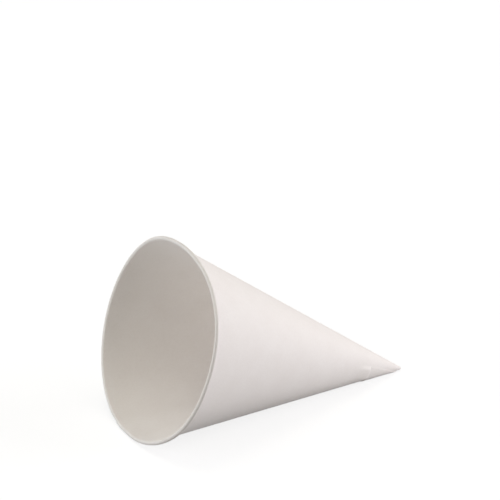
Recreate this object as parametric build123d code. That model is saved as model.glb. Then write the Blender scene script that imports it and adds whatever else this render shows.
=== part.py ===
from build123d import *
from math import asin, atan2, cos, degrees, radians, sin, tan
import os

# A cone paper cup rolled from one sheet, with a curled rim, a lap seam and a tucked tip.
# It is drawn upright on its tip, with the axis along Z and the seam towards +X. The seam is
# pressed flat, and the cup is then laid down on it, with the mouth towards -X and the tip
# towards +X. Lengths are in millimetres and angles in degrees.

# Cone
mouth_diameter = 72.0    # over the curled rim
cup_height = 99.0        # from the tip to the top of the rim, along the axis
paper = 0.2              # thickness of the sheet
tip_radius = 0.55        # rounding of the tip, outside

# Curled rim
curl_diameter = 1.5      # of the curl's section, outside
curl_turn = 289.0        # angle that the sheet turns through
curl_sides = 12          # short straight sides that the curl is drawn with

# Lap seam, at the mouth
lap_width = 16.0         # flat strip where two layers are glued together
climb_width = 4.0        # where the outer layer climbs onto the inner one

# Tuck: a tongue of paper that is folded up round the tip on the seam's side
tuck_height = 16.0       # from the tip to the tuck's straight upper edge
tuck_waist = 8.0         # from the tip to where the tuck goes halfway round
tuck_overlap = 1.5       # how far its upper corners pass beyond halfway
tuck_root_share = 0.5    # depth of the tuck's root in the sheet below it

# The wall is a straight line that touches the rounding of the tip and the inside of the curl.
curl_radius = curl_diameter / 2
curl_center = Vector(mouth_diameter / 2 - curl_radius, cup_height - curl_radius)
tip_center = Vector(0, tip_radius)
center_line = curl_center - tip_center
wall_offset = curl_radius - paper + tip_radius
half_angle = degrees(atan2(center_line.X, center_line.Y) - asin(wall_offset / center_line.length))


def wall_radius(height, layers):
    """Radius of the outside of so many layers at a height. No layers give the inside of the cup."""
    rounding = tip_radius + (layers - 1) * paper
    return (height - tip_radius) * tan(radians(half_angle)) + rounding / cos(radians(half_angle))


def polar(radius, angle):
    return Vector(radius * cos(radians(angle)), radius * sin(radians(angle)))


rim_foot = cup_height - curl_diameter
lap_half_angle = degrees(asin(lap_width / 2 / wall_radius(rim_foot, 1)))
climb_angle = degrees(climb_width / wall_radius(rim_foot, 1))


def curl_corners(radius):
    """Corners of the curl's section, from the wall over the top and round."""
    angles = [180 - half_angle - curl_turn * side / curl_sides for side in range(curl_sides + 1)]
    return [curl_center + polar(radius, angle) for angle in angles]


def curled_rim():
    """The top of the sheet, curled outwards and under until its end almost meets the wall."""
    outside = curl_corners(curl_radius)
    inside = curl_corners(curl_radius - paper)
    wall_foot = [(wall_radius(rim_foot, 1), rim_foot), (wall_radius(rim_foot, 0), rim_foot)]
    with BuildSketch(Plane.XZ) as drawing:
        with BuildLine():
            Polyline(*outside, *reversed(inside), *wall_foot, close=True)
        make_face()
    flat_start = Rot(0, 0, -lap_half_angle) * drawing.sketch
    flat_end = Rot(0, 0, lap_half_angle) * drawing.sketch
    round_part = revolve(flat_end, Axis.Z, 360 - 2 * lap_half_angle)
    flat_part = loft([flat_start, flat_end], ruled=True)
    return round_part + flat_part


def lapped_outline(height, layers, edge_angle):
    """Outline of a turn of the sheet: round, then up by one layer, straight along the lap and down
    again at the sheet's edge, which is at one end of the lap or the other."""
    low = wall_radius(height, layers)
    high = wall_radius(height, layers + 1)
    lap_radius = high if edge_angle > 0 else low
    climb_start = 360 - lap_half_angle - climb_angle
    with BuildSketch(Plane.XY.offset(height)) as outline:
        with BuildLine():
            Line(polar(lap_radius, -lap_half_angle), polar(lap_radius, lap_half_angle))
            CenterArc((0, 0), low, lap_half_angle, climb_start - lap_half_angle)
            ThreePointArc(
                polar(low, climb_start),
                polar((low + high) / 2, climb_start + climb_angle / 2),
                polar(high, -lap_half_angle),
            )
            Line(polar(low, edge_angle), polar(high, edge_angle))
        make_face()
    return outline.sketch


def lapped_wall():
    """The cone from the tuck's upper edge to the rim, two layers thick along the seam."""
    ends = (tuck_height, rim_foot)
    outside = loft([lapped_outline(height, 1, lap_half_angle) for height in ends], ruled=True)
    inside = loft([lapped_outline(height, 0, -lap_half_angle) for height in ends], ruled=True)
    return outside - inside


def tip_shell(inner_layers, outer_layers):
    """End of the cone, up to the tuck's upper edge, between two counts of layers."""
    outer_rounding = tip_radius + (outer_layers - 1) * paper
    floor = tip_radius - outer_rounding + (outer_layers - inner_layers) * paper
    with BuildSketch(Plane.XZ) as section:
        with BuildLine():
            outside = CenterArc(tip_center, outer_rounding, -90, 90 - half_angle)
            Polyline(
                outside @ 1,
                (wall_radius(tuck_height, outer_layers), tuck_height),
                (wall_radius(tuck_height, inner_layers), tuck_height),
                (wall_radius(floor, inner_layers), floor),
                (0, floor),
                outside @ 0,
            )
        make_face()
    return revolve(section.sketch, Axis.Z)


tuck_slope = tuck_overlap / (tuck_height - tuck_waist)


def tuck():
    """The tongue: a layer over the seam's side of the tip, its sides cut by one slanting plane."""
    cut = Plane((0, 0, tuck_waist), x_dir=(0, 1, 0), z_dir=(1, 0, tuck_slope))
    return split(tip_shell(tuck_root_share, 2), bisect_by=cut, keep=Keep.TOP)


def resting_tilt():
    """Angle of the axis to the floor, with the cup on the flat of its curl and the point of its tuck."""
    point_rise = tan(radians(half_angle)) + tuck_slope
    point_height = (tuck_slope * tuck_waist - wall_radius(0, 2)) / point_rise
    point = Vector(wall_radius(point_height, 2), point_height)
    flatness = cos(radians(lap_half_angle))
    reach = Vector(curl_center.X * flatness, curl_center.Y) - point
    return degrees(atan2(reach.X, reach.Y) + asin(curl_radius * flatness / reach.length))


upright = curled_rim().fuse(lapped_wall(), tip_shell(0, 1), tuck())
lying = Rot(0, resting_tilt() - 90, 0) * Rot(0, 0, 180) * upright
box = lying.bounding_box()
cone_cup = Pos(-box.center().X, -box.center().Y, -box.min.Z) * lying
cone_cup.label = "cone_cup"

os.makedirs("parts", exist_ok=True)
export_step(cone_cup, "parts/cone_cup.step")
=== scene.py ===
from math import asin, atan2, cos, exp, log, pi, radians, sin, sqrt, tan

import bmesh
import bpy
from mathutils import Matrix, Vector


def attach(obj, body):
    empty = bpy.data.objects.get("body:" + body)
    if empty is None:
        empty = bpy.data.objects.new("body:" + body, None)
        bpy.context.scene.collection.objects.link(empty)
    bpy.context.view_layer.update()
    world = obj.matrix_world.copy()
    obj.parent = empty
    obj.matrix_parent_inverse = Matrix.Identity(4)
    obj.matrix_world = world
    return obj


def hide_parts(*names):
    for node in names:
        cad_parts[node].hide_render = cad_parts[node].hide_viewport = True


# A cone paper cup, rolled from one sheet, lying on its seam. Its mesh is drawn upright in
# millimetres, with the tip at the origin and the seam towards +X, then laid down in metres.

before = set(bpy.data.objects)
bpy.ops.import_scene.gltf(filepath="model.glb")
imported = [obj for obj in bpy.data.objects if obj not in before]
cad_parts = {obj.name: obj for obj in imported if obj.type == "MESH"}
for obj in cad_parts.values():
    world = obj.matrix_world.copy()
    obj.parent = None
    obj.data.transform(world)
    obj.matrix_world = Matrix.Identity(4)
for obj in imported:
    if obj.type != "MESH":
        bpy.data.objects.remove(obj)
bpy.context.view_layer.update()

# Sizes of the cup in millimetres, the same as in the solid
MOUTH_DIAMETER = 72.0
CUP_HEIGHT = 99.0
PAPER = 0.2
TIP_RADIUS = 0.55
CURL_DIAMETER = 1.5
CURL_TURN = radians(289.0)
LAP_WIDTH = 16.0
CLIMB_WIDTH = 4.0
TUCK_HEIGHT = 16.0
TUCK_WAIST = 8.0
TUCK_OVERLAP = 1.5

# How the paper gives: the lying mouth sags in waves round its edge, each with a count and two
# heights in millimetres. It has two bulges and a dent, each with an angle, a spread and a height.
# The corners of the pressed seam are soft.
SAG_WAVES = ((2, -0.599, -0.178), (3, 0.357, -0.180), (4, -0.292, 0.0))
BULGES = (
    (radians(64.0), radians(17.0), 0.56),
    (radians(-124.0), radians(22.0), 0.38),
    (radians(-161.0), radians(15.0), -0.40),
)
PRESSED_HALF = radians(7.0)
SEAM_SOFTNESS = 0.004

# Fit of the layers, in millimetres: a second layer lies this far out, a hair clear of the first,
# and the lap has its full lift from this height. The tuck starts low and reaches far round.
LAYER_LIFT = 0.206
LAP_FULL_HEIGHT = 4 * TIP_RADIUS
TUCK_FOOT = 1.0
TUCK_REACH = radians(125.0)

# Ridge where the sheet is bent over the tuck's upper edge, at one side of the cup: it steps up
# from the tuck and falls slowly towards the mouth. The rows are heights above the tip, and the
# ridge grows and fades between two angles each.
RIDGE_RISE = 0.32
RIDGE_CREST = 16.6
RIDGE_ROWS = (15.5, 15.75, 16.0, 16.15, 16.3, 16.45, 16.6, 17.2, 18.0, 19.0, 20.5, 22.0, 24.0)
RIDGE_START = radians(42.0), radians(70.0)
RIDGE_END = radians(96.0), radians(108.0)

# How finely the mesh is divided, and from which angle an edge stays sharp
WALL_ROWS = 30
CURL_STEPS = 20
TIP_STEPS = 4
TURN_STEPS = 200
CLIMB_STEPS = 8
LAP_STEPS = 18
TUCK_ROWS = 24
TUCK_STEPS = 90
MERGE_DISTANCE = PAPER / 100
SHARP_ANGLE = radians(50.0)

# How the cup lies on the floor, with its tip's place in metres
LYING_TILT = radians(19.462)
TIP_PLACE = Vector((0.0523857, 0.0, 0.0005656))
MILLIMETRE = 0.001

# The paper's look: three patterns of noise, two ramps of tints with their places, the range of the
# roughness, and two heights of tooth in metres
CLOUDS = {"Scale": 110.0, "Detail": 4.0, "Roughness": 0.6}
FIBRES = {"Scale": 1500.0, "Detail": 6.0, "Roughness": 0.65, "Distortion": 0.6}
GRAIN = {"Scale": 5200.0, "Detail": 3.0, "Roughness": 0.6}
CLOUD_TINTS = (0.3, (0.895, 0.855, 0.830, 1)), (0.7, (0.920, 0.885, 0.862, 1))
FIBRE_TINTS = (0.25, (0.96, 0.955, 0.95, 1)), (0.6, (1, 1, 1, 1))
ROUGHNESS_RANGE = {"To Min": 0.72, "To Max": 0.92}
TOOTH = {"Strength": 0.12, "Distance": 0.00003}
FINE_TOOTH = {"Strength": 0.1, "Distance": 0.00001}
SHINE = {"Specular IOR Level": 0.3}

# Floor and room: what they send to the cup, and what is seen of them
FLOOR_HALF_SIZE = 12.0
FLOOR_COLOUR = (0.35, 0.35, 0.35, 1)
FLOOR_GLOW = 0.785
ROOM_COLOUR = (1, 1, 1, 1)
ROOM_STRENGTH = {"To Min": 0.05, "To Max": 1.0}

# Lamps: name, azimuth and elevation in degrees, height in metres, watts and tint
LAMP_DISTANCE = 1.2
LAMP_WIDTH = 1.0
LAMP_TARGET = Vector((0.0, 0.0, 0.03))
LAMPS = (
    ("key_softbox", 60.0, 16.3, 0.70, 13.36, (0.992, 0.974, 1.0)),
    ("mouth_softbox", 255.0, 13.3, 0.57, 6.9, (0.89, 0.935, 1.0)),
    ("front_softbox", 305.0, 13.3, 0.57, 1.68, (1.0, 0.88, 0.66)),
    ("overhead_softbox", 215.0, 75.0, 1.0, 6.21, (1.0, 0.97, 0.87)),
)

# The camera: its turn about the cup, its height, and where it sees the tip, in metres
PICTURE_WIDTH = 500
FOCAL_PIXELS = 10000
SENSOR = 36.0
CAMERA_AZIMUTH = radians(26.902)
CAMERA_ELEVATION = radians(27.251)
TIP_RIGHT = 0.051755
TIP_UP = -0.040741
CAMERA_DISTANCE = 3.43314

# The wall is a straight line that touches the rounding of the tip and the inside of the curl.
curl_radius = CURL_DIAMETER / 2
curl_center = Vector((MOUTH_DIAMETER / 2 - curl_radius, 0, CUP_HEIGHT - curl_radius))
tip_center = Vector((0, 0, TIP_RADIUS))
center_line = curl_center - tip_center
wall_offset = curl_radius - PAPER + TIP_RADIUS
half_angle = atan2(center_line.x, center_line.z) - asin(wall_offset / center_line.length)


def wall_radius(height, layers):
    """Radius of the outside of so many layers at a height."""
    rounding = TIP_RADIUS + (layers - 1) * PAPER
    return (height - TIP_RADIUS) * tan(half_angle) + rounding / cos(half_angle)


mouth_radius = MOUTH_DIAMETER / 2
foot_radius = wall_radius(CUP_HEIGHT - CURL_DIAMETER, 1)
lap_half = asin(LAP_WIDTH / 2 / foot_radius)
climb_angle = CLIMB_WIDTH / foot_radius
tuck_slope = TUCK_OVERLAP / (TUCK_HEIGHT - TUCK_WAIST)


def ease(start, end, value):
    """0 before start, 1 after end, and a smooth change between them."""
    share = min(max((value - start) / (end - start), 0), 1)
    return share * share * (3 - 2 * share)


def turned(vert):
    """Angle of a vertex about the axis, from the middle of the seam."""
    return atan2(vert.co.y, vert.co.x)


def turn_all(bm, angle):
    """Turns everything drawn so far about the axis."""
    turn = Matrix.Rotation(angle, 3, "Z")
    bmesh.ops.rotate(bm, verts=bm.verts, cent=(0, 0, 0), matrix=turn)


def cut_all(bm, place, normal, **settings):
    """Cuts everything drawn so far along a plane."""
    bmesh.ops.bisect_plane(
        bm, geom=bm.verts[:] + bm.edges[:] + bm.faces[:], dist=MERGE_DISTANCE,
        plane_co=place, plane_no=normal, **settings,
    )


def spin_sheet(bm, geom, angle, steps):
    """Turns an edge line about the axis and gives the line at its end."""
    ends = bmesh.ops.spin(
        bm, geom=geom, cent=(0, 0, 0), axis=(0, 0, 1), angle=angle, steps=steps, use_merge=False
    )
    return ends["geom_last"]


def draw_sheet_line(bm):
    """Outside of the sheet along the seam's edge: round the tip, up the wall, round the curl."""
    pole = bm.verts.new((0, 0, 0))
    tip_arc = bmesh.ops.spin(
        bm, geom=[pole], cent=tip_center, axis=(0, -1, 0),
        angle=pi / 2 - half_angle, steps=TIP_STEPS,
    )
    wall_foot = tip_arc["geom_last"][0]
    to_wall = Vector((-cos(half_angle), 0, sin(half_angle)))
    wall_top = bm.verts.new(curl_center + (curl_radius - PAPER) * to_wall)
    wall = bm.edges.new((wall_foot, wall_top))
    bmesh.ops.spin(
        bm, geom=[wall_top], cent=curl_center, axis=(0, 1, 0), angle=CURL_TURN, steps=CURL_STEPS
    )
    bmesh.ops.subdivide_edges(bm, edges=[wall], cuts=WALL_ROWS)
    turn_all(bm, -lap_half)


def face_outwards(bm):
    """Turns the faces of an open sheet so that the wall's faces look away from the axis."""
    bm.normal_update()
    bmesh.ops.recalc_face_normals(bm, faces=bm.faces)
    widest = max(bm.faces, key=lambda face: face.calc_area())
    middle = widest.calc_center_median()
    if widest.normal.x * middle.x + widest.normal.y * middle.y < 0:
        bmesh.ops.reverse_faces(bm, faces=bm.faces)
    bm.normal_update()


def roll_sheet():
    """The cup's sheet: once round, up over its own edge and along the lap as a second layer."""
    bm = bmesh.new()
    draw_sheet_line(bm)
    line = bm.verts[:] + bm.edges[:]
    line = spin_sheet(bm, line, 2 * pi - climb_angle, TURN_STEPS)
    first_turn = set(bm.verts)
    line = spin_sheet(bm, line, climb_angle, CLIMB_STEPS)
    climbing = set(bm.verts) - first_turn
    spin_sheet(bm, line, 2 * lap_half, LAP_STEPS)
    lapping = set(bm.verts) - first_turn - climbing
    face_outwards(bm)
    for vert in climbing | lapping:
        climbed = 1.0
        if vert in climbing:
            climbed = ease(-lap_half - climb_angle, -lap_half, turned(vert))
        near_tip = ease(TIP_RADIUS, LAP_FULL_HEIGHT, vert.co.z)
        vert.co += vert.normal * LAYER_LIFT * climbed * near_tip
    poles = [vert for vert in bm.verts if vert.co.xy.length < MERGE_DISTANCE]
    bmesh.ops.remove_doubles(bm, verts=poles, dist=MERGE_DISTANCE)
    for height in RIDGE_ROWS:
        cut_all(bm, (0, 0, height), (0, 0, 1))
    return bm


def fold_tuck():
    """The tongue: a second layer round the tip, with slanting sides and a straight upper edge."""
    bm = bmesh.new()
    foot = bm.verts.new((wall_radius(TUCK_FOOT, 2), 0, TUCK_FOOT))
    top = bm.verts.new((wall_radius(TUCK_HEIGHT, 2), 0, TUCK_HEIGHT))
    side = bm.edges.new((foot, top))
    bmesh.ops.subdivide_edges(bm, edges=[side], cuts=TUCK_ROWS)
    turn_all(bm, -TUCK_REACH)
    spin_sheet(bm, bm.verts[:] + bm.edges[:], 2 * TUCK_REACH, TUCK_STEPS)
    cut_all(bm, (0, 0, TUCK_WAIST), (1, 0, tuck_slope), clear_inner=True)
    face_outwards(bm)
    for vert in bm.verts:
        over_lap = 1 - ease(lap_half, lap_half + climb_angle, abs(turned(vert)))
        vert.co += vert.normal * (LAYER_LIFT - PAPER + LAYER_LIFT * over_lap)
    return bm


def raise_ridge(verts):
    """Swells the outside of the rolled sheet along the ridge. It starts level with the tuck."""
    for vert in verts:
        angle, height = turned(vert), vert.co.z
        along = ease(*RIDGE_START, angle) * (1 - ease(*RIDGE_END, angle))
        level = LAYER_LIFT * ease(RIDGE_ROWS[0], TUCK_HEIGHT, height)
        step = RIDGE_RISE * ease(TUCK_HEIGHT, RIDGE_CREST, height)
        fall = 1 - ease(RIDGE_CREST, RIDGE_ROWS[-1], height)
        vert.co += vert.normal * along * (level + step) * fall


def mouth_shape(angle):
    """How far the sheet is from the axis at an angle, against the true cone."""
    flat = (PRESSED_HALF ** 2 - angle ** 2) / 2
    pressed = SEAM_SOFTNESS * log(1 + exp(flat / SEAM_SOFTNESS))
    sagging = sum(
        even * cos(count * angle) + odd * sin(count * angle) for count, even, odd in SAG_WAVES
    )
    bulging = sum(
        height * exp((cos(angle - middle) - 1) / spread ** 2) for middle, spread, height in BULGES
    )
    return 1 - pressed + (sagging + bulging) / mouth_radius


def press_and_thicken(bm):
    """Presses the seam flat, lets the mouth sag and gives the sheet its thickness. The paper
    doesn't stretch, so each point keeps its distance from the tip. Gives the outside's points."""
    for vert in bm.verts:
        share = mouth_shape(turned(vert))
        distance = vert.co.length
        vert.co.x *= share
        vert.co.y *= share
        vert.co.z = sqrt(max(distance ** 2 - vert.co.xy.length_squared, 0))
    bm.normal_update()
    outside = bm.verts[:]
    bmesh.ops.solidify(bm, geom=bm.faces[:], thickness=PAPER)
    return outside


def lay_down(bm):
    """Lays the upright cup on its seam, with the mouth towards -X, in metres."""
    lying = Matrix.Rotation(LYING_TILT - pi / 2, 4, "Y") @ Matrix.Rotation(pi, 4, "Z")
    place = Matrix.Translation(TIP_PLACE) @ lying @ Matrix.Scale(MILLIMETRE, 4)
    bmesh.ops.transform(bm, matrix=place, verts=bm.verts)


def link_object(name, data):
    """A new object in the scene."""
    thing = bpy.data.objects.new(name, data)
    bpy.context.scene.collection.objects.link(thing)
    return thing


def finish_mesh(name, bm, material):
    """A mesh of one material from what was drawn."""
    mesh = bpy.data.meshes.new(name)
    bm.to_mesh(mesh)
    bm.free()
    mesh.materials.append(material)
    return mesh


def make_piece(name, bm, material):
    """A finished piece that stands for the solid and keeps sharp edges where the paper is cut."""
    mesh = finish_mesh(name, bm, material)
    mesh.shade_smooth()
    mesh.set_sharp_from_angle(angle=SHARP_ANGLE)
    piece = link_object(name, mesh)
    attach(piece, "root")
    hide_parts("cone_cup")


def start_nodes(owner):
    """Empties the nodes of a material or world. Gives a function that adds a node with its
    settings, and one that joins two sockets."""
    owner.use_nodes = True
    tree = owner.node_tree
    tree.nodes.clear()

    def add(kind, **settings):
        node = tree.nodes.new(kind)
        for key, value in settings.items():
            if key in node.inputs:
                node.inputs[key].default_value = value
            else:
                setattr(node, key, value)
        return node

    return add, tree.links.new


def add_ramp(add, stops):
    """A colour ramp between two tints, each with its place."""
    ramp = add("ShaderNodeValToRGB")
    for element, (position, tint) in zip(ramp.color_ramp.elements, stops):
        element.position = position
        element.color = tint
    return ramp


def white_paper():
    """Uncoated white paper: cloudy formation, fine fibres, and a matt uneven face."""
    material = bpy.data.materials.new("white_paper")
    add, join = start_nodes(material)
    place = add("ShaderNodeTexCoord")
    clouds = add("ShaderNodeTexNoise", **CLOUDS)
    fibres = add("ShaderNodeTexNoise", **FIBRES)
    grain = add("ShaderNodeTexNoise", **GRAIN)
    for noise in (clouds, fibres, grain):
        join(place.outputs["Object"], noise.inputs["Vector"])
    tint = add_ramp(add, CLOUD_TINTS)
    join(clouds.outputs["Fac"], tint.inputs["Fac"])
    specks = add_ramp(add, FIBRE_TINTS)
    join(fibres.outputs["Fac"], specks.inputs["Fac"])
    colour = add("ShaderNodeMix", data_type="RGBA", blend_type="MULTIPLY", Factor=1.0)
    join(tint.outputs["Color"], colour.inputs["A"])
    join(specks.outputs["Color"], colour.inputs["B"])
    dullness = add("ShaderNodeMapRange", **ROUGHNESS_RANGE)
    join(fibres.outputs["Fac"], dullness.inputs["Value"])
    tooth = add("ShaderNodeBump", **TOOTH)
    join(fibres.outputs["Fac"], tooth.inputs["Height"])
    fine_tooth = add("ShaderNodeBump", **FINE_TOOTH)
    join(grain.outputs["Fac"], fine_tooth.inputs["Height"])
    join(tooth.outputs["Normal"], fine_tooth.inputs["Normal"])
    shader = add("ShaderNodeBsdfPrincipled", **SHINE)
    join(colour.outputs["Result"], shader.inputs["Base Color"])
    join(dullness.outputs["Result"], shader.inputs["Roughness"])
    join(fine_tooth.outputs["Normal"], shader.inputs["Normal"])
    output = add("ShaderNodeOutputMaterial")
    join(shader.outputs["BSDF"], output.inputs["Surface"])
    return material


def seen_directly(add, join):
    """1 for rays that show the floor or the room to the camera, straight or by reflection."""
    path = add("ShaderNodeLightPath")
    first = add("ShaderNodeMath", operation="MAXIMUM")
    second = add("ShaderNodeMath", operation="MAXIMUM")
    join(path.outputs["Is Camera Ray"], first.inputs[0])
    join(path.outputs["Is Glossy Ray"], first.inputs[1])
    join(first.outputs["Value"], second.inputs[0])
    join(path.outputs["Is Transmission Ray"], second.inputs[1])
    return second.outputs["Value"]


def pale_floor():
    """Grey for the light that it sends back to the cup, and white to the eye with the shadow."""
    material = bpy.data.materials.new("pale_floor")
    add, join = start_nodes(material)
    matt = add("ShaderNodeBsdfDiffuse", Color=FLOOR_COLOUR)
    glow = add("ShaderNodeEmission")
    strength = add("ShaderNodeMath", operation="MULTIPLY")
    strength.inputs[1].default_value = FLOOR_GLOW
    join(seen_directly(add, join), strength.inputs[0])
    join(strength.outputs["Value"], glow.inputs["Strength"])
    both = add("ShaderNodeAddShader")
    join(matt.outputs["BSDF"], both.inputs[0])
    join(glow.outputs["Emission"], both.inputs[1])
    output = add("ShaderNodeOutputMaterial")
    join(both.outputs["Shader"], output.inputs["Surface"])
    return material


def lay_floor():
    """A wide flat floor under the cup."""
    bm = bmesh.new()
    bmesh.ops.create_grid(bm, x_segments=1, y_segments=1, size=FLOOR_HALF_SIZE)
    floor = link_object("floor", finish_mesh("floor", bm, pale_floor()))


def light_room():
    """White all round: at full strength where it is seen, and as light at a lower one."""
    world = bpy.data.worlds.new("studio")
    add, join = start_nodes(world)
    strength = add("ShaderNodeMapRange", **ROOM_STRENGTH)
    join(seen_directly(add, join), strength.inputs["Value"])
    white = add("ShaderNodeBackground", Color=ROOM_COLOUR)
    join(strength.outputs["Result"], white.inputs["Strength"])
    output = add("ShaderNodeOutputWorld")
    join(white.outputs["Background"], output.inputs["Surface"])
    bpy.context.scene.world = world


def place_softbox(name, azimuth, elevation, height, watts, tint):
    """A broad lamp that looks at the cup. Azimuth 0 is in front of it, and 90 is by the tip."""
    lamp = bpy.data.lights.new(name, "AREA")
    lamp.shape = "RECTANGLE"
    lamp.size = LAMP_WIDTH
    lamp.size_y = height
    lamp.energy = watts
    lamp.color = tint
    across = Matrix.Rotation(radians(azimuth), 3, "Z")
    upwards = Matrix.Rotation(radians(-elevation), 3, "X")
    place = across @ upwards @ Vector((0, -LAMP_DISTANCE, 0))
    softbox = link_object(name, lamp)
    softbox.location = place
    softbox.rotation_euler = (LAMP_TARGET - place).to_track_quat("-Z", "Y").to_euler()


def place_camera():
    """The photograph's camera, set by where it sees the tip."""
    camera = bpy.data.cameras.new("camera")
    camera.sensor_width = SENSOR
    camera.lens = FOCAL_PIXELS / PICTURE_WIDTH * SENSOR
    right = Vector((1, 0, 0))
    ahead = Vector((0, cos(CAMERA_ELEVATION), -sin(CAMERA_ELEVATION)))
    up = right.cross(ahead)
    turn = Matrix.Rotation(-CAMERA_AZIMUTH, 3, "Z")
    looking = turn @ Matrix((right, up, -ahead)).transposed()
    from_tip = turn @ (-TIP_RIGHT * right - TIP_UP * up - CAMERA_DISTANCE * ahead)
    holder = link_object("camera", camera)
    holder.matrix_world = Matrix.Translation(TIP_PLACE + from_tip) @ looking.to_4x4()
    bpy.context.scene.camera = holder


paper = white_paper()
sheets = {"rolled_sheet": roll_sheet(), "tip_tuck": fold_tuck()}
for name, sheet in sheets.items():
    outside = press_and_thicken(sheet)
    if name == "rolled_sheet":
        raise_ridge(outside)
    lay_down(sheet)
lowest = min(vert.co.z for sheet in sheets.values() for vert in sheet.verts)
for name, sheet in sheets.items():
    bmesh.ops.translate(sheet, verts=sheet.verts, vec=(0, 0, -lowest))
    make_piece(name, sheet, paper)

lay_floor()
light_room()
for lamp in LAMPS:
    place_softbox(*lamp)
place_camera()
bpy.context.scene.view_settings.view_transform = "Standard"
